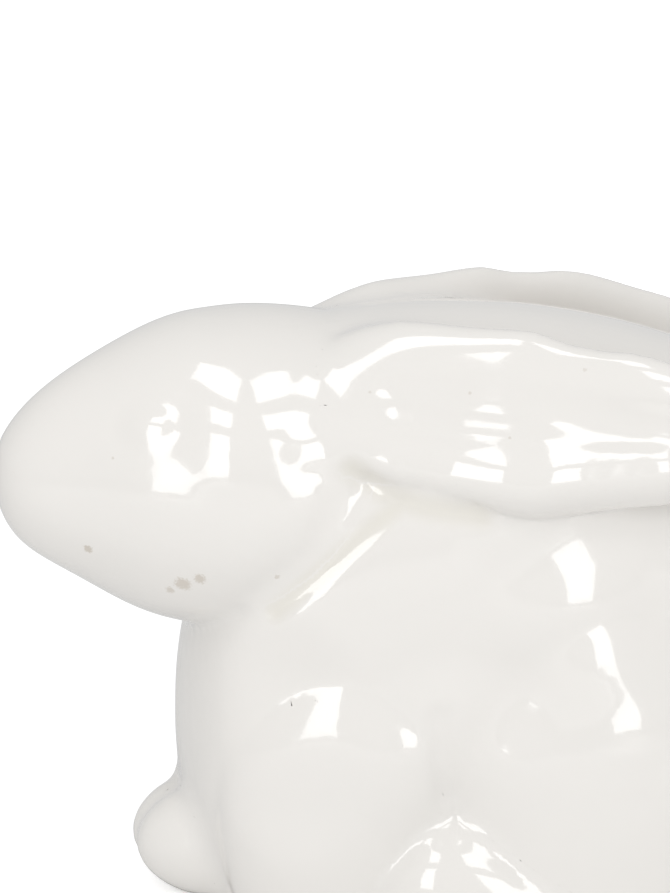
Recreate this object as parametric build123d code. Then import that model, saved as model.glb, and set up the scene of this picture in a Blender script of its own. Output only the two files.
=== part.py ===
# Crouching rabbit figurine in glazed white ceramic, ears laid back along the shoulders.
# It is fired as one, but made up from clay castings and pressings that are luted together
# with slip: a hollow torso, a hollow head seated in its neck opening, solid ears, legs,
# feet and tail, and a disc that closes the pour hole. Each of these is a node here.
# Millimetres. The nose points along -X, +Z is up, and the rabbit is the same on both sides of Y = 0.
# Places along X are measured back from the nose tip, and the whole is centred at the end.
from build123d import *

import math
import os

# Hollow castings
torso_wall = 4.0
head_wall = 3.6

# Torso, from the chest to the rump
torso_length = 120.6
torso_width = 54.0
torso_height = 85.5
chest_setback = 27.0

# Head, from the nose tip to the back of the skull
head_length = 66.0
head_width = 42.0
head_height = 47.6
nose_height = 67.8
neck_hole_diameter = 16.0

# Eye, a low dome in a shallow socket
eye_setback = 21.5
eye_height = 78.0
eye_length = 8.4
eye_opening = 5.6
eye_rise = 0.8
socket_length = 14.0
socket_opening = 9.6
socket_depth = 0.6

# Ear, a thick leaf laid back along the neck
ear_length = 89.0
ear_width = 27.0
ear_thickness = 8.6
ear_hollow = 0.9
ear_setback = 36.0
ear_root_height = 79.0
ear_root_spread = 12.5
ear_tip_height = 72.9
ear_tip_spread = 26.5

# Foreleg, low on the side of the chest from the elbow down to the ground
foreleg_setback = 52.0
foreleg_level = 20.0
foreleg_spread = 12.5
foreleg_length = 42.0
foreleg_width = 27.0
foreleg_height = 64.0
foreleg_lean = 4.0

# Front paw, close beside its twin in front of the chest
paw_setback = 20.3
paw_level = 8.0
paw_spread = 2.5
paw_length = 32.0
paw_width = 17.0
paw_height = 19.6

# Haunch, the round thigh on each side
haunch_setback = 94.0
haunch_level = 16.0
haunch_spread = 11.0
haunch_length = 62.0
haunch_width = 44.0
haunch_height = 72.0

# Hind foot, long and flat with a raised toe end
foot_setback = 53.0
foot_length = 62.0
foot_width = 18.0
foot_height = 16.4
foot_spread = 23.0

# Tail, a round bob on the rump
tail_setback = 146.0
tail_level = 18.0
tail_length = 19.0
tail_width = 20.0
tail_height = 22.0

# Pour hole in the flat base, and the disc that closes it
pour_hole_setback = 86.0
pour_hole_diameter = 24.0
disc_clearance = 0.1
disc_recess = 0.8
vent_diameter = 3.6

# How many sections and points a smooth form is drawn through
section_count = 11
ear_section_count = 13
arc_points = 9

# Each row is one of the evenly spaced places along a form, from front to back: its top, bottom,
# half-width and the level of its widest place, as shares of an ellipse of the form's size.
# The end shares say how high the front and back ends are.
TORSO_SHARES = (
    (0.87, 0.93, 1.5, 0.0),
    (0.89, 0.55, 1.12, 0.16),
    (0.77, 0.455, 1.0, 0.27),
    (0.69, 0.43, 0.99, 0.28),
    (0.66, 0.445, 1.0, 0.24),
    (0.68, 0.51, 1.02, 0.18),
    (0.53, 0.593, 1.0, 0.1),
)
TORSO_END_SHARES = (0.29, 0.25)
TORSO_FULLNESS_SHARE = 1.25
HEAD_SHARES = (
    (0.38, 0.51, 0.95, -0.07),
    (0.39, 0.465, 0.82, -0.11),
    (0.405, 0.50, 0.82, -0.13),
    (0.43, 0.55, 0.87, -0.15),
    (0.435, 0.58, 0.96, -0.16),
    (0.435, 0.58, 1.04, -0.16),
    (0.44, 0.55, 1.10, -0.14),
    (0.45, 0.50, 1.15, -0.08),
    (0.42, 0.45, 1.2, 0.0),
)
HEAD_END_SHARES = (0.0, 0.12)
HEAD_FULLNESS_SHARE = 1.0
FOOT_SHARES = (
    (0.85, 0.7, 1.2, 0.0),
    (0.90, 0.7, 1.2, 0.0),
    (0.50, 0.7, 1.06, 0.0),
    (0.22, 0.7, 1.0, 0.0),
    (0.16, 0.7, 1.0, 0.0),
    (0.16, 0.7, 1.08, 0.0),
    (0.1, 0.7, 1.2, 0.0),
)
FOOT_END_SHARES = (0.35, 0.35)
FOOT_FULLNESS_SHARE = 1.1

# Each row of the ear, from root to tip: its width and thickness, and how far its middle has gone
# from the root's place to the tip's place outwards and downwards.
EAR_SHARES = (
    (1.4, 1.8, 0.0, 0.0),
    (1.12, 1.7, 0.02, 0.0),
    (1.04, 1.23, 0.16, -0.3),
    (1.02, 1.0, 0.43, -0.06),
    (0.98, 0.92, 0.66, 0.11),
    (0.9, 0.9, 0.86, 0.26),
    (0.8, 0.96, 0.96, 0.44),
    (0.7, 1.07, 1.0, 0.69),
    (0.55, 1.2, 1.0, 1.0),
)
# How far the ear leans in from upright along its length, in degrees
EAR_LEANS = (40, 37, 28.5, 21.5, 15.5, 11, 7.5, 5, 5)
# Where the shallow hollow in the ear lies across its width, and how wide it is
EAR_HOLLOW_PLACE_SHARE = 0.2
EAR_HOLLOW_SPAN_SHARE = 0.45
# How much of the ear's section is round, where a whole turn is 1; the rest lies flat on the neck
EAR_ROUND_SHARE = 0.68


def between(values, place):
    """A smooth curve through evenly spaced values, at a place from 0 to 1."""
    last = len(values) - 1
    k = min(int(place * last), last - 1)
    step = place * last - k
    start, end = values[k], values[k + 1]
    leaving = (end - values[max(k - 1, 0)]) / 2
    arriving = (values[min(k + 2, last)] - start) / 2
    rest = end - start - leaving
    return start + step * (leaving + step * (rest + (step - 1) * (leaving + arriving - 2 * (end - start))))


def stations(count):
    """Places from 0 to 1 along a form, close together at its round ends."""
    return [(1 - math.cos(math.pi * k / (count + 1))) / 2 for k in range(1, count + 1)]


def curve(points, first, last):
    """A spline through the points, that leaves along first and arrives along last."""
    step = 1 / (len(points) - 1)
    leave = first * ((points[1] - points[0]).length / step)
    arrive = last * ((points[-1] - points[-2]).length / step)
    steps = [k * step for k in range(len(points))]
    return Edge.make_spline(points, tangents=(leave, arrive), parameters=steps, scale=False)


def egg(start, length, base, height, half_width, rows, ends, fullness):
    """A smooth closed form with round ends, the same on both sides of Y = 0."""
    across = Vector(0, 1, 0)
    front, back = ends
    sections = [Vertex(start, 0, base + height * front)]
    for along in stations(section_count):
        swell = 2 * math.sqrt(along * (1 - along))
        up, down, side, rise = [swell * between(column, along) for column in zip(*rows)]
        middle = front + (back - front) * along
        top = base + height * (middle + up)
        bottom = base + height * (middle - down)
        level = base + height * (middle + rise)
        x = start + length * along
        points = [Vector(x, 0, bottom)]
        for k in range(1, arc_points - 1):
            angle = math.pi * (k / (arc_points - 1) - 0.5)
            sine, cosine = math.sin(angle), math.cos(angle)
            power = 1 / fullness if sine > 0 else 1
            reach = top - level if sine > 0 else level - bottom
            z = level + reach * math.copysign(abs(sine) ** power, sine)
            points.append(Vector(x, half_width * side * cosine**power, z))
        points.append(Vector(x, 0, top))
        sections.append(Wire([curve(points, across, -across), Edge.make_line(points[-1], points[0])]))
    sections.append(Vertex(start + length, 0, base + height * back))
    half = Solid.make_loft(sections)
    return half + half.mirror(Plane.XZ)


def torso_form(inset):
    """The torso's closed form, drawn in by inset on every side."""
    return egg(
        chest_setback + inset,
        torso_length - 2 * inset,
        inset,
        torso_height - 2 * inset,
        torso_width / 2 - inset,
        TORSO_SHARES,
        TORSO_END_SHARES,
        TORSO_FULLNESS_SHARE,
    )


def head_form(inset):
    """The head's closed form, drawn in by inset on every side."""
    return egg(
        inset,
        head_length - 2 * inset,
        nose_height,
        head_height - 2 * inset,
        head_width / 2 - inset,
        HEAD_SHARES,
        HEAD_END_SHARES,
        HEAD_FULLNESS_SHARE,
    )


def ellipsoid(length, width, height):
    """A closed ellipsoid about the origin, given by its full sizes."""
    ball = Solid.make_sphere(height / 2)
    return scale(ball, by=(length / height, width / height, 1))


def above(form, level):
    """What of a form is above a level."""
    return form.split(Plane((0, 0, level)), keep=Keep.TOP)


def right_of_middle(form):
    """What of a form is on the right side, so that it meets its twin in the middle."""
    return form.split(Plane((0, 0, 0), z_dir=(0, 1, 0)), keep=Keep.TOP)


def with_eyes(skin):
    """The head's skin with both eyes worked into it."""
    form = skin
    for hand in (-1, 1):
        line = Axis((eye_setback, 0, eye_height), (0, hand, 0))
        seat, outward = [hit for hit in skin.find_intersection_points(line) if hit[0].Y * hand > 0][0]
        along = Vector(1, 0, 0) - outward * outward.X
        plane = Plane(origin=seat, x_dir=along, z_dir=outward)
        socket = ellipsoid(socket_length, socket_opening, 2 * socket_depth)
        dome = ellipsoid(eye_length, eye_opening, 2 * (socket_depth + eye_rise))
        form = form - plane.location * socket
        form = form + plane.location * Location((0, 0, -socket_depth)) * dome
    return form


def ear_form():
    drop = ear_root_height - ear_tip_height
    spread = ear_tip_spread - ear_root_spread
    root = Vertex(ear_setback, ear_root_spread, ear_root_height)
    tip = Vertex(ear_setback + ear_length, ear_tip_spread, ear_tip_height)
    sections = [root]
    for along in stations(ear_section_count):
        swell = 2 * math.sqrt(along * (1 - along))
        width, thickness, out, down = [between(column, along) for column in zip(*EAR_SHARES)]
        lean = math.radians(between(EAR_LEANS, along))
        middle = Vector(
            ear_setback + ear_length * along,
            ear_root_spread + spread * out,
            ear_root_height - drop * down,
        )
        up = Vector(0, -math.sin(lean), math.cos(lean))
        across = Vector(0, math.cos(lean), math.sin(lean))
        half_width = ear_width * width * swell / 2
        half_thickness = ear_thickness * thickness * swell / 2
        points = []
        for k in range(arc_points):
            angle = 2 * math.pi * EAR_ROUND_SHARE * (k / (arc_points - 1) - 0.5)
            sine, cosine = math.sin(angle), math.cos(angle)
            place = (sine - EAR_HOLLOW_PLACE_SHARE) / EAR_HOLLOW_SPAN_SHARE
            hollow = ear_hollow * swell * max(cosine, 0) * math.exp(-place * place)
            points.append(middle + up * (half_width * sine) + across * (half_thickness * cosine - hollow))
        # The section's own direction where its round part begins and ends
        rim = (up * (half_width * cosine) - across * (half_thickness * sine)).normalized()
        start_rim = (up * (half_width * cosine) + across * (half_thickness * sine)).normalized()
        sections.append(Wire([curve(points, start_rim, rim), Edge.make_line(points[-1], points[0])]))
    return Solid.make_loft(sections + [tip])


def foreleg_form():
    leg = ellipsoid(foreleg_length, foreleg_width, foreleg_height)
    place = Location((foreleg_setback, foreleg_spread, foreleg_level), (0, foreleg_lean, 0))
    return place * leg


def paw_form():
    paw = ellipsoid(paw_length, paw_width, paw_height)
    return right_of_middle(Location((paw_setback + paw_length / 2, paw_spread, paw_level)) * paw)


def haunch_form():
    place = Location((haunch_setback, haunch_spread, haunch_level))
    return place * ellipsoid(haunch_length, haunch_width, haunch_height)


def foot_form():
    form = egg(
        foot_setback,
        foot_length,
        0,
        foot_height,
        foot_width / 2,
        FOOT_SHARES,
        FOOT_END_SHARES,
        FOOT_FULLNESS_SHARE,
    )
    return Location((0, foot_spread, 0)) * form


def tail_form():
    place = Location((tail_setback, 0, tail_level))
    return place * ellipsoid(tail_length, tail_width, tail_height)


def disc_form(radius):
    """The round that fills the pour hole, as far up as the floor's upper face."""
    form = Solid.make_cylinder(radius, torso_wall - disc_recess)
    vent = Solid.make_cylinder(vent_diameter / 2, torso_wall - disc_recess)
    return Location((pour_hole_setback, 0, disc_recess)) * (form - vent)


def neck_hole():
    """A round way from the middle of the head's hollow back and down towards the torso's."""
    start = Vector(head_length / 2, 0, nose_height)
    end = Vector(chest_setback + torso_length / 2, 0, torso_height / 2)
    plane = Plane(origin=start, z_dir=end - start)
    return Solid.make_cylinder(neck_hole_diameter / 2, (end - start).length, plane)


def pour_hole():
    form = Solid.make_cylinder(pour_hole_diameter / 2, torso_wall)
    return Location((pour_hole_setback, 0, 0)) * form


def seated(form, *carriers):
    """A form cut away where its carriers are, as one solid."""
    for carrier in carriers:
        form = form - carrier
    return max(form.solids(), key=lambda solid: solid.volume)


def pieces():
    """Every piece by its name, on the right side and the middle, with left pieces mirrored."""
    torso_skin = above(torso_form(0), 0)
    head_skin = head_form(0)
    haunch = above(haunch_form(), 0)
    foreleg = above(foreleg_form(), 0)
    foot = above(foot_form(), 0)
    paw = above(paw_form(), 0)
    torso_hollow = above(torso_form(torso_wall), torso_wall)
    made = {
        "torso": seated(torso_skin, head_skin, torso_hollow, pour_hole()),
        "head": seated(with_eyes(head_skin), head_form(head_wall), neck_hole()),
        "tail": seated(tail_form(), torso_skin),
        "base_disc": disc_form(pour_hole_diameter / 2 - disc_clearance),
    }
    pairs = {
        "haunch": seated(haunch, torso_skin),
        "foreleg": seated(foreleg, torso_skin, head_skin, haunch),
        "front_paw": seated(paw, torso_skin, foreleg),
        "hind_foot": seated(foot, torso_skin, haunch, foreleg),
        "ear": seated(ear_form(), torso_skin, head_skin),
    }
    for name, form in pairs.items():
        made[name + "_right"] = form
        made[name + "_left"] = form.mirror(Plane.XZ)
    return made


def main():
    os.makedirs("parts", exist_ok=True)
    middle = (tail_setback + tail_length / 2) / 2
    for name, form in pieces().items():
        export_step(Location((-middle, 0, 0)) * form, f"parts/{name}.step")


main()
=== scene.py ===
# Crouching rabbit figurine in white glazed ceramic, seen close from its left side.
# Metres. In the kiln the glaze runs over the joins of the clay pieces, so one skin is drawn
# over them all and worked over, and it is parted again with one piece for each piece of clay.
import math

import bmesh
import bpy
import numpy as np
from mathutils import Matrix, Vector


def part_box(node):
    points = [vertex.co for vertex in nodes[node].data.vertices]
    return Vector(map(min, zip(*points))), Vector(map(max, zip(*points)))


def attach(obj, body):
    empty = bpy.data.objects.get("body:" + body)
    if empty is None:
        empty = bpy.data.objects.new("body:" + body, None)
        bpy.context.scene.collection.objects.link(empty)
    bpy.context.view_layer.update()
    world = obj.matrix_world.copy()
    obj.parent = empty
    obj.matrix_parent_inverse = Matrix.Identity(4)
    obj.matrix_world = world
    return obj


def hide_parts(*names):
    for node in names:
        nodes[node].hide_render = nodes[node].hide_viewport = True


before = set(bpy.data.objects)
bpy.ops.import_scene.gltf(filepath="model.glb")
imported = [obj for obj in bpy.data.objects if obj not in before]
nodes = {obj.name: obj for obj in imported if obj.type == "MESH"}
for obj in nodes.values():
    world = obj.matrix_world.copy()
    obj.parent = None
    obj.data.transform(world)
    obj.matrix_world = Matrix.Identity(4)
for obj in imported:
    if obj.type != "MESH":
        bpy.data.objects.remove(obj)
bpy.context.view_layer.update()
clay_names = [name for name in nodes if name != "base_disc"]

# Camera: where it stands round the rabbit, in degrees, what it looks at and how much it sees,
# the width of its sensor in millimetres, and the size of its picture in pixels
camera_azimuth = -10.0
camera_elevation = 18.0
camera_distance = 0.65
camera_target = Vector((-0.02625, 0, 0.0691))
seen_height = 0.134
sensor_width = 36.0
picture_width = 670
picture_height = 893

# Skin of glaze, drawn with voxels and smoothed in passes, and the cells that part it
touching = 1e-7
sheen_reach = 1e-5
skin_voxel = 0.00065
flow_share = 0.5
flow_passes = 12
melt_passes = 160
last_passes = 4
peg_segments = 64
cell_voxel = 0.001
cell_passes = 4
join_reach = 0.0014

# Slip laid over the clay before it is smoothed: the middle of each form, how far it reaches
# each way and how far it tips down to the tail, in degrees. One off the middle has a twin.
slip_forms = {
    "valley": (Vector((0.0003, 0, 0.0720)), Vector((0.047, 0.022, 0.0175)), 8.5),
    "thigh": (Vector((0.0128, -0.013, 0.008)), Vector((0.029, 0.0205, 0.055)), 0.0),
}
oval_segments = 64
oval_rings = 32

# Pocket under the torso, which the base disc closes. Its drill is as long again below the ground.
pocket_depth = 0.010
pocket_clearance = 0.0001

# Muzzle, narrowed by a share of its width from a place behind the eye forward to the nose
taper_start = -0.045
muzzle_taper = 0.20

# Strokes of the modelling tool: the pixels of the camera's picture that each goes through, how
# far it reaches to either side and how far it pushes the skin out. One that melts a join has a
# strength in place of a push. The last ones also tint the creases warmer and darker, partly as
# pooled glaze and partly as painted shade.
broad_strokes = {
    "cheek": ([(240, 440)], 0.011, 0.0006),
    "ear_swell": ([(535, 478)], 0.017, 0.0013),
    "shoulder": ([(570, 632)], 0.015, 0.0016),
    "leg_front": ([(290, 690), (290, 800)], 0.012, -0.0012),
    "elbow": ([(450, 755)], 0.017, 0.0022),
}
melted_strokes = {
    "haunch_join": ([(462, 850), (478, 780), (520, 715), (590, 680), (668, 665)], 0.009, 1.0),
    "jowl_join": ([(340, 490), (322, 555), (262, 606)], 0.004, 1.0),
    "ear_valley": ([(400, 300), (520, 296), (660, 322)], 0.012, 1.0),
    "ear_root_join": ([(322, 390), (322, 460)], 0.005, 1.0),
    "paw_join": ([(188, 795), (208, 830), (212, 885)], 0.004, 1.0),
    "eye": ([(150, 433)], 0.008, 0.35),
}
fine_strokes = {
    "ear_root": ([(305, 450)], 0.004, 0.0003),
    "ear_groove": ([(400, 398), (500, 408), (571, 417), (668, 428)], 0.005, -0.0006),
    "ear_belly": ([(400, 474), (450, 484), (540, 488), (660, 474)], 0.006, 0.0010),
    "foreleg_crease": ([(441, 720), (445, 795)], 0.003, -0.0004),
}
# Crease strokes: where they reach is painted darker, as pooled glaze and as painted shade
pool_and_shade_strokes = {
    "under_ear": ([(352, 470), (385, 494), (425, 508), (480, 516)], 0.003, -0.0004),
    "neck_crease": ([(275, 612), (290, 600), (345, 552), (397, 507)], 0.0025, -0.0003),
}

# Lamps: two tall windows, turned from the camera's side by some degrees, whose panes are raised
# by some degrees and have a height. A lamp of brightness 1 looks as bright as white paper.
lamp_target = Vector((-0.02, 0, 0.05))
lamp_distance = 0.7
window_turn = 23.0
window_width = 0.16
window_panes = [(12.0, 0.36), (40.0, 0.15), (63.0, 0.17)]
window_brightness = 2.6
tent_brightness = 0.85

# Floor
floor_size = 6.0
floor_grey = (0.85, 0.85, 0.85)
floor_glow = 0.5

# Glaze, the noises in it, and the numbers of a Mix node's sockets for colours
glaze_white = (0.875, 0.85, 0.815)
cloud_white = (0.855, 0.835, 0.80)
# Warmer, darker white of the creases: glaze pooled there, and painted shade
pool_and_shade_tint = (0.80, 0.77, 0.69)
stain_brown = (0.42, 0.33, 0.22)
glaze_roughness = 0.10
coat_roughness = 0.03
cloud_scale = 70.0
ripple_scale = 240.0
ripple_depth = 0.00004
noise_detail = 2.0
noise_middle = 0.5
mix_share, mix_first, mix_second, mix_result = 0, 6, 7, 2

# Bare clay of the foot and the base disc
clay_cream = (0.72, 0.67, 0.58)
clay_shade = (0.62, 0.56, 0.47)
clay_cloud_scale = 210.0
clay_roughness = 0.75
grit_scale = 2500.0
grit_detail = 4.0
grit_roughness = 0.2
grit_depth = 0.00006

# The foot is wiped bare up to the first height and fully glazed from the second
wiped_from = 0.0002
wiped_to = 0.0007

# How strongly the painted crease shade and pooled glaze show, how ragged a mark's edge is and
# how much of it is solid
pool_and_shade_share = 0.6
mark_scale = 3000.0
raggedness = 1.2
mark_core = 0.4

# Marks in the glaze: the pixel of the camera's picture where each is, its radius and how much
# of the brown stain it shows
marks = [
    ((183, 584), 0.0016, 0.40),
    ((200, 579), 0.0012, 0.40),
    ((170, 590), 0.0009, 0.35),
    ((88, 549), 0.0009, 0.45),
    ((113, 458), 0.0003, 0.25),
    ((277, 577), 0.0005, 0.30),
    ((585, 370), 0.0004, 0.20),
    ((470, 393), 0.0003, 0.25),
    ((510, 438), 0.0003, 0.25),
    ((370, 392), 0.0003, 0.20),
    ((648, 308), 0.0004, 0.25),
]


def direction(azimuth, elevation):
    """The way from the rabbit out to a place round it, given in degrees."""
    turn = math.radians(azimuth)
    rise = math.radians(elevation)
    level = math.cos(rise)
    return Vector((math.sin(turn) * level, -math.cos(turn) * level, math.sin(rise)))


def camera():
    """The photograph's view: the camera's place, turned to look at its target."""
    back = direction(camera_azimuth, camera_elevation)
    lens = bpy.data.cameras.new("camera")
    lens.sensor_width = sensor_width
    lens.lens = sensor_width * camera_distance / seen_height
    seer = bpy.data.objects.new("camera", lens)
    bpy.context.scene.collection.objects.link(seer)
    seer.location = camera_target + back * camera_distance
    seer.rotation_euler = back.to_track_quat("Z", "Y").to_euler()
    bpy.context.scene.camera = seer
    bpy.context.view_layer.update()
    return seer


def clay(*names):
    """A shape that holds the meshes of these pieces of clay, their doubles merged."""
    shape = bmesh.new()
    for name in names:
        shape.from_mesh(nodes[name].data)
    bmesh.ops.remove_doubles(shape, verts=shape.verts, dist=touching)
    return shape


def placed(name, shape):
    """A new object at the origin that holds a shape."""
    mesh = bpy.data.meshes.new(name)
    shape.to_mesh(mesh)
    shape.free()
    thing = bpy.data.objects.new(name, mesh)
    bpy.context.scene.collection.objects.link(thing)
    return thing


def settle(thing):
    """Works a thing's modifiers into its mesh."""
    bpy.context.view_layer.update()
    shown = thing.evaluated_get(bpy.context.evaluated_depsgraph_get())
    thing.data = bpy.data.meshes.new_from_object(shown)
    thing.modifiers.clear()


def flow(thing, passes):
    """Gives a thing a modifier that smooths it by some passes, and returns it."""
    smoother = thing.modifiers.new("flow", "SMOOTH")
    smoother.factor = flow_share
    smoother.iterations = passes
    return smoother


def drawn_over(name, shape, voxel, passes):
    """One closed skin over a shape, smoothed."""
    thing = placed(name, shape)
    voxels = thing.modifiers.new("voxels", "REMESH")
    voxels.mode = "VOXEL"
    voxels.voxel_size = voxel
    voxels.use_smooth_shade = True
    flow(thing, passes)
    settle(thing)
    return thing


def slip_places():
    """The place, size and tip of each form of slip, with a twin for each off the middle."""
    for middle, reach, tip in slip_forms.values():
        for side in (1, -1) if middle.y else (1,):
            yield (
                Matrix.Translation((middle.x, middle.y * side, middle.z))
                @ Matrix.Rotation(math.radians(tip), 4, "Y")
                @ Matrix.Diagonal((*reach, 1))
            )


def peg(shape, clearance, depth, height):
    """Adds a peg to a shape: the base disc's outline, wider by a clearance, round a height."""
    low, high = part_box("base_disc")
    middle = (low + high) / 2
    radius = high.x - middle.x + clearance
    bmesh.ops.create_cone(
        shape,
        cap_ends=True,
        segments=peg_segments,
        radius1=radius,
        radius2=radius,
        depth=depth,
        matrix=Matrix.Translation((middle.x, middle.y, height)),
    )


def whole_skin():
    """The glaze over all the clay and slip, with the pour hole filled for now."""
    shape = clay(*clay_names)
    disc_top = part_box("base_disc")[1].z
    peg(shape, skin_voxel, disc_top, disc_top / 2)
    for place in slip_places():
        bmesh.ops.create_uvsphere(
            shape,
            u_segments=oval_segments,
            v_segments=oval_rings,
            radius=1,
            matrix=place,
        )
    return drawn_over("skin", shape, skin_voxel, flow_passes)


def at_pixel(thing, pixel):
    """The place on a thing, on its left side, that the camera sees at a pixel."""
    pixel_size = seen_height / picture_height
    across = (pixel[0] - picture_width / 2) * pixel_size
    up = (picture_height / 2 - pixel[1]) * pixel_size
    aim = seer.matrix_world @ Vector((across, up, -camera_distance))
    start = seer.matrix_world.translation
    hit, place, _, _ = thing.ray_cast(start, aim - start)
    if not hit:
        raise ValueError(f"nothing is seen at pixel {pixel}")
    return np.array((place.x, -abs(place.y), place.z))


def column(mesh, name):
    """A mesh's points or their normals, one row each."""
    values = np.empty(len(mesh.vertices) * 3)
    mesh.vertices.foreach_get(name, values)
    return values.reshape(-1, 3)


def move(thing, points):
    """Moves a thing's points to new places."""
    thing.data.vertices.foreach_set("co", points.ravel())
    thing.data.update()


def share_under(thing, pixels, reach):
    """How far each point of a thing is under a stroke, from 0 to 1, alike on both sides."""
    path = [at_pixel(thing, pixel) for pixel in pixels]
    points = column(thing.data, "co")
    points[:, 1] = -abs(points[:, 1])
    nearest = np.full(len(points), np.inf)
    for start, end in zip(path, path[1:] or path):
        run = end - start
        along = np.clip((points - start) @ run / max(run @ run, touching), 0, 1)
        away = np.linalg.norm(points - start - np.outer(along, run), axis=1)
        nearest = np.minimum(nearest, away)
    return np.clip(1 - (nearest / reach) ** 2, 0, 1) ** 2


def stroke(thing, strokes):
    """Pushes a thing's skin out or in under each stroke, and returns the strokes' shares."""
    bpy.context.view_layer.update()
    points = column(thing.data, "co")
    normals = column(thing.data, "normal")
    covered = np.zeros(len(points))
    for pixels, reach, push in strokes.values():
        share = share_under(thing, pixels, reach)
        covered = np.maximum(covered, share)
        points += normals * (share * push)[:, None]
    move(thing, points)
    return covered


def melt(thing, strokes, passes):
    """Smooths a thing's skin under each stroke, as glaze and slip fill a join."""
    bpy.context.view_layer.update()
    covered = np.zeros(len(thing.data.vertices))
    for pixels, reach, strength in strokes.values():
        covered = np.maximum(covered, share_under(thing, pixels, reach) * strength)
    group = thing.vertex_groups.new(name="melted")
    for index in np.flatnonzero(covered):
        group.add([int(index)], float(covered[index]), "REPLACE")
    flow(thing, passes).vertex_group = group.name
    settle(thing)
    thing.vertex_groups.clear()


def taper(thing):
    """Narrows the muzzle towards the nose."""
    points = column(thing.data, "co")
    nose = points[:, 0].min()
    share = np.clip((taper_start - points[:, 0]) / (taper_start - nose), 0, 1)
    points[:, 1] *= 1 - muzzle_taper * share**2 * (3 - 2 * share)
    move(thing, points)


def ground(thing):
    """Puts the points that smoothing moved below the ground back on it."""
    points = column(thing.data, "co")
    points[:, 2] = np.maximum(points[:, 2], 0)
    move(thing, points)


def work_over(thing):
    """Brings the skin's forms out: broad ones, melted joins, then fine ones."""
    taper(thing)
    stroke(thing, broad_strokes)
    melt(thing, melted_strokes, melt_passes)
    stroke(thing, fine_strokes)
    # Where these crease strokes reach is kept to be painted darker: pooled glaze and painted
    # shade
    pool_and_shade = stroke(thing, pool_and_shade_strokes)
    flow(thing, last_passes)
    settle(thing)
    pool_and_shade_layer = thing.data.attributes.new("pool_and_shade", "FLOAT", "POINT")
    pool_and_shade_layer.data.foreach_set("value", pool_and_shade)
    ground(thing)


def cut(thing, by, operation):
    """Cuts a thing's mesh by another thing's, where both are closed."""
    knife = thing.modifiers.new("cut", "BOOLEAN")
    knife.object = by
    knife.operation = operation
    knife.solver = "MANIFOLD"
    settle(thing)


def cell(name):
    """A piece of clay swollen by the reach of its join, which parts its glaze from the rest."""
    thing = drawn_over("cell", clay(name), cell_voxel, cell_passes)
    swell = thing.modifiers.new("swell", "DISPLACE")
    swell.mid_level = 0
    swell.strength = join_reach
    settle(thing)
    return thing


def smooth_as(thing, whole):
    """Gives a piece the shading of the whole skin where its face is the skin's."""
    sheen = thing.modifiers.new("sheen", "DATA_TRANSFER")
    sheen.object = whole
    sheen.use_loop_data = True
    sheen.data_types_loops = {"CUSTOM_NORMAL"}
    sheen.loop_mapping = "POLYINTERP_NEAREST"
    sheen.use_max_distance = True
    sheen.max_distance = sheen_reach
    settle(thing)


def finish_piece(name, thing):
    """Names, smooths and paints one finished piece, and puts it in its clay's place."""
    thing.name = name + "_glazed"
    smooth_as(thing, skin)
    thing.data.materials.clear()
    thing.data.materials.append(white_glaze)
    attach(thing, "root")
    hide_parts(name)


def pocket(rest):
    """Opens the hole under the torso again, with room behind the base disc."""
    shape = bmesh.new()
    peg(shape, pocket_clearance, pocket_depth * 2, 0)
    drill = placed("drill", shape)
    cut(rest, drill, "DIFFERENCE")
    bpy.data.objects.remove(drill)


def part(name, rest):
    """Parts one piece from the rest of the skin, and returns what is left."""
    mould = cell(name)
    piece = bpy.data.objects.new(name, rest.data.copy())
    left = bpy.data.objects.new("rest", rest.data.copy())
    for thing in (piece, left):
        bpy.context.scene.collection.objects.link(thing)
    cut(piece, mould, "INTERSECT")
    cut(left, mould, "DIFFERENCE")
    finish_piece(name, piece)
    bpy.data.objects.remove(mould)
    if rest is not skin:
        bpy.data.objects.remove(rest)
    return left


class Value:
    """A node's output, on which sums can be written."""

    def __init__(self, shader, output):
        self.shader = shader
        self.output = output

    def math(self, operation, first, second):
        """A Math node on two values."""
        settings = {"operation": operation}
        return self.shader.node("ShaderNodeMath", settings, {0: first, 1: second})

    def __add__(self, other):
        return self.math("ADD", self, other)

    def __radd__(self, other):
        return self.math("ADD", other, self)

    def __sub__(self, other):
        return self.math("SUBTRACT", self, other)

    def __rsub__(self, other):
        return self.math("SUBTRACT", other, self)

    def __mul__(self, other):
        return self.math("MULTIPLY", self, other)

    def __rmul__(self, other):
        return self.math("MULTIPLY", other, self)

    def rise(self, start, end):
        """0 below start, 1 above end and smooth between."""
        return self.shader.node(
            "ShaderNodeMapRange",
            {"interpolation_type": "SMOOTHSTEP"},
            {"Value": self, "From Min": start, "From Max": end},
        )


class Shader:
    """The node tree of a material or the world."""

    def __init__(self, owner):
        owner.use_nodes = True
        self.tree = owner.node_tree
        self.tree.nodes.clear()

    def node(self, kind, settings=None, sockets=None, out=0):
        """A new node of a kind, set up and with its sockets filled; its output is returned."""
        made = self.tree.nodes.new(kind)
        for name, value in (settings or {}).items():
            setattr(made, name, value)
        for name, value in (sockets or {}).items():
            if isinstance(value, Value):
                self.tree.links.new(value.output, made.inputs[name])
            else:
                made.inputs[name].default_value = value
        if not made.outputs:
            return None
        return Value(self, made.outputs[out])


def paint(name, draw):
    """A material whose nodes the function draw writes."""
    material = bpy.data.materials.new(name)
    shader = Shader(material)
    shader.node("ShaderNodeOutputMaterial", None, {"Surface": draw(shader)})
    return material


def rgba(colour):
    """A colour's numbers with full cover, as a socket takes them."""
    return (*colour, 1.0)


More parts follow.
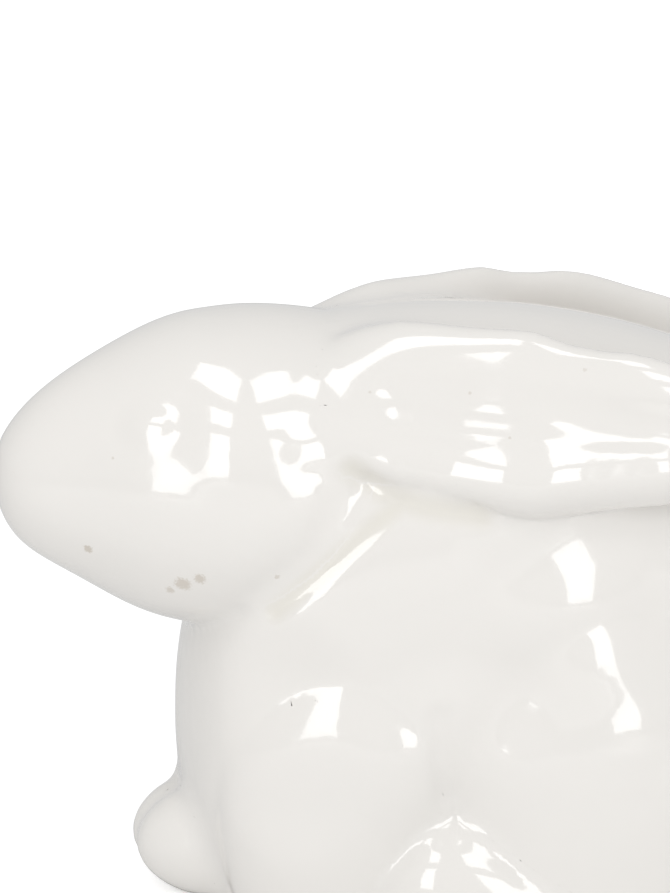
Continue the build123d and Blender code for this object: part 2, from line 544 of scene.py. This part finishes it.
def mixed(shader, share, first, second):
    """A colour between two, each of them a colour's numbers or a node's output."""
    ends = [end if isinstance(end, Value) else rgba(end) for end in (first, second)]
    sockets = {mix_share: share, mix_first: ends[0], mix_second: ends[1]}
    return shader.node("ShaderNodeMix", {"data_type": "RGBA"}, sockets, mix_result)


def noise(shader, place, scale, detail=noise_detail):
    """A soft random pattern from 0 to 1."""
    sockets = {"Vector": place, "Scale": scale, "Detail": detail}
    return shader.node("ShaderNodeTexNoise", None, sockets)


def bump(shader, height, depth):
    """A surface that rises by a depth where a height is 1."""
    return shader.node("ShaderNodeBump", None, {"Height": height, "Distance": depth})


def stained(shader, place, colour):
    """Brings the marks in the glaze over a colour."""
    wander = noise(shader, place, mark_scale)
    for spot, (_, radius, stain) in zip(mark_spots, marks):
        sockets = {0: place, 1: spot}
        away = shader.node("ShaderNodeVectorMath", {"operation": "DISTANCE"}, sockets, "Value")
        ragged = away + (wander - noise_middle) * (radius * raggedness)
        share = (1 - ragged.rise(radius * mark_core, radius)) * stain
        colour = mixed(shader, share, colour, stain_brown)
    return colour


def glaze(shader):
    """Clear glaze over white clay: faint clouds, painted crease shade with pooled glaze, marks
    and a wiped foot.
    """
    place = shader.node("ShaderNodeTexCoord", None, None, "Object")
    height = shader.node("ShaderNodeSeparateXYZ", None, {"Vector": place}, "Z")
    pool_and_shade = shader.node("ShaderNodeAttribute", {"attribute_name": "pool_and_shade"}, None, "Fac")
    colour = mixed(shader, noise(shader, place, cloud_scale), glaze_white, cloud_white)
    # Creases darkened: partly pooled glaze, partly painted shade
    colour = mixed(shader, pool_and_shade * pool_and_shade_share, colour, pool_and_shade_tint)
    colour = stained(shader, place, colour)
    glazed = height.rise(wiped_from, wiped_to)
    return shader.node(
        "ShaderNodeBsdfPrincipled",
        None,
        {
            "Base Color": mixed(shader, glazed, clay_cream, colour),
            "Roughness": clay_roughness - glazed * (clay_roughness - glaze_roughness),
            "Coat Weight": glazed,
            "Coat Roughness": coat_roughness,
            "Normal": bump(shader, noise(shader, place, ripple_scale), ripple_depth),
        },
    )


def biscuit(shader):
    """Bare fired clay, matt and gritty, a little darker in clouds."""
    place = shader.node("ShaderNodeTexCoord", None, None, "Object")
    clouds = noise(shader, place, clay_cloud_scale)
    grit = noise(shader, place, grit_scale, grit_detail)
    return shader.node(
        "ShaderNodeBsdfPrincipled",
        None,
        {
            "Base Color": mixed(shader, clouds, clay_cream, clay_shade),
            "Roughness": clay_roughness + (grit - noise_middle) * grit_roughness,
            "Normal": bump(shader, grit, grit_depth),
        },
    )


def paper(shader):
    """The pale floor, which looks white to the camera but keeps the shadow."""
    dull = shader.node("ShaderNodeBsdfDiffuse", None, {"Color": rgba(floor_grey)})
    ray = shader.node("ShaderNodeLightPath", None, None, "Is Camera Ray")
    glow = shader.node("ShaderNodeEmission", None, {"Strength": ray * floor_glow})
    return shader.node("ShaderNodeAddShader", None, {0: dull, 1: glow})


def tent():
    """The white surroundings, plain white to the camera and softer as a light."""
    world = bpy.data.worlds.new("tent")
    bpy.context.scene.world = world
    shader = Shader(world)
    ray = shader.node("ShaderNodeLightPath", None, None, "Is Camera Ray")
    strength = tent_brightness + ray * (1 - tent_brightness)
    back = shader.node("ShaderNodeBackground", None, {"Strength": strength})
    shader.node("ShaderNodeOutputWorld", None, {"Surface": back})


def lamp(name, turn, rise, width, height, brightness):
    """A soft rectangular lamp that faces the rabbit and isn't seen itself."""
    way = direction(camera_azimuth + turn, rise)
    light = bpy.data.lights.new(name, "AREA")
    light.shape = "RECTANGLE"
    light.size = width
    light.size_y = height
    light.energy = brightness * math.pi * width * height
    thing = bpy.data.objects.new(name, light)
    bpy.context.scene.collection.objects.link(thing)
    thing.location = lamp_target + way * lamp_distance
    thing.rotation_euler = way.to_track_quat("Z", "Y").to_euler()
    thing.visible_camera = False


def floor():
    """The pale floor that the rabbit stands on."""
    shape = bmesh.new()
    bmesh.ops.create_grid(shape, x_segments=1, y_segments=1, size=floor_size / 2)
    thing = placed("floor", shape)
    thing.data.materials.append(paint("paper", paper))


seer = camera()
floor()
tent()
for rise, height in window_panes:
    for turn in (-window_turn, window_turn):
        lamp("window", turn, rise, window_width, height, window_brightness)

skin = whole_skin()
work_over(skin)
bpy.context.view_layer.update()
mark_spots = [at_pixel(skin, pixel) for pixel, _, _ in marks]
white_glaze = paint("white_glaze", glaze)
rest = skin
for name in clay_names:
    if name != "torso":
        rest = part(name, rest)
pocket(rest)
finish_piece("torso", rest)
bpy.data.objects.remove(skin)

disc = nodes["base_disc"]
disc.data.materials.clear()
disc.data.materials.append(paint("bare_clay", biscuit))

bpy.context.scene.view_settings.view_transform = "Standard"
